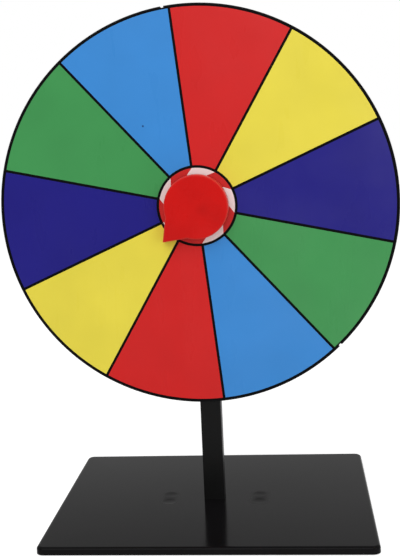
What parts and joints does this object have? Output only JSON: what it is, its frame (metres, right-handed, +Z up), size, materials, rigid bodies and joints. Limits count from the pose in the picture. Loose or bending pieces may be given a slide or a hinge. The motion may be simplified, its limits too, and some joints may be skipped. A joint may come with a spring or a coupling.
{
  "type": "carnival game wheel",
  "caption": "Tabletop carnival game wheel: coloured sectors round a striped centre with a turnable red pointer, spinning on ball bearings at the front of a square post on a flat base.",
  "frame": {"origin": "on the floor under the middle of the base, on the post's axis", "axes": "+Z up along the post, -Y forwards out of the wheel's face, +X to the right as seen from the front"},
  "size_m": [0.3, 0.2, 0.3982],
  "materials": {
    "base_paint": "satin",
    "post_paint": "satin",
    "black_plastic": "satin",
    "rubber": "matte",
    "zinc_steel": "satin",
    "bearing_steel": "polished",
    "cage_brass": "satin",
    "black_board": "satin",
    "rim_band": "satin",
    "stripe_red": "gloss",
    "stripe_white": "gloss",
    "pointer_red": "gloss",
    "film_yellow": "gloss",
    "film_red": "gloss",
    "film_sky": "gloss",
    "film_green": "gloss",
    "film_navy": "gloss"
  },
  "bodies": {
    "stand": {"base_tray": "base_paint", "base_stiffener": "base_paint", "post_tube": "post_paint", "post_insert": "zinc_steel", "post_screw": "zinc_steel", "post_top_plug": "black_plastic", "foot_front_left": "rubber", "foot_front_right": "rubber", "foot_back_left": "rubber", "foot_back_right": "rubber", "axle_bolt": "zinc_steel", "axle_rear_washer": "zinc_steel", "axle_front_washer": "zinc_steel", "axle_jam_nut": "zinc_steel", "rear_shim": "zinc_steel", "rear_inner_ring": "bearing_steel", "bearing_spacer": "zinc_steel", "front_inner_ring": "bearing_steel", "axle_sleeve_nut": "zinc_steel", "friction_ring": "rubber"},
    "wheel": {"wheel_board": "black_board", "rim_band_long": "rim_band", "rim_band_short": "rim_band", "sector_yellow_1": "film_yellow", "sector_red_1": "film_red", "sector_sky_1": "film_sky", "sector_green_1": "film_green", "sector_navy_1": "film_navy", "sector_yellow_2": "film_yellow", "sector_red_2": "film_red", "sector_sky_2": "film_sky", "sector_green_2": "film_green", "sector_navy_2": "film_navy", "stripes_red": "stripe_red", "stripes_white": "stripe_white", "hub_housing": "black_plastic", "hub_screws": "zinc_steel", "rear_outer_ring": "bearing_steel", "front_outer_ring": "bearing_steel"},
    "bearing_balls": {"rear_balls": "bearing_steel", "rear_cage": "cage_brass", "front_balls": "bearing_steel", "front_cage": "cage_brass"},
    "pointer": {"pointer": "pointer_red"}
  },
  "joints": [
    {"name": "wheel_spin", "type": "hinge", "parent": "stand", "child": "wheel", "pos_m": [0, -0.04485, 0.2482], "axis": [0, -1, 0], "continuous": true},
    {"name": "ball_orbit", "type": "hinge", "parent": "stand", "child": "bearing_balls", "pos_m": [0, -0.02885, 0.2482], "axis": [0, -1, 0], "continuous": true},
    {"name": "pointer_turn", "type": "hinge", "parent": "stand", "child": "pointer", "pos_m": [0, -0.05475, 0.2482], "axis": [0, -1, 0], "continuous": true}
  ],
  "couplings": [
    {"joint": "ball_orbit", "follows": "wheel_spin", "ratio": 0.63067}
  ]
}
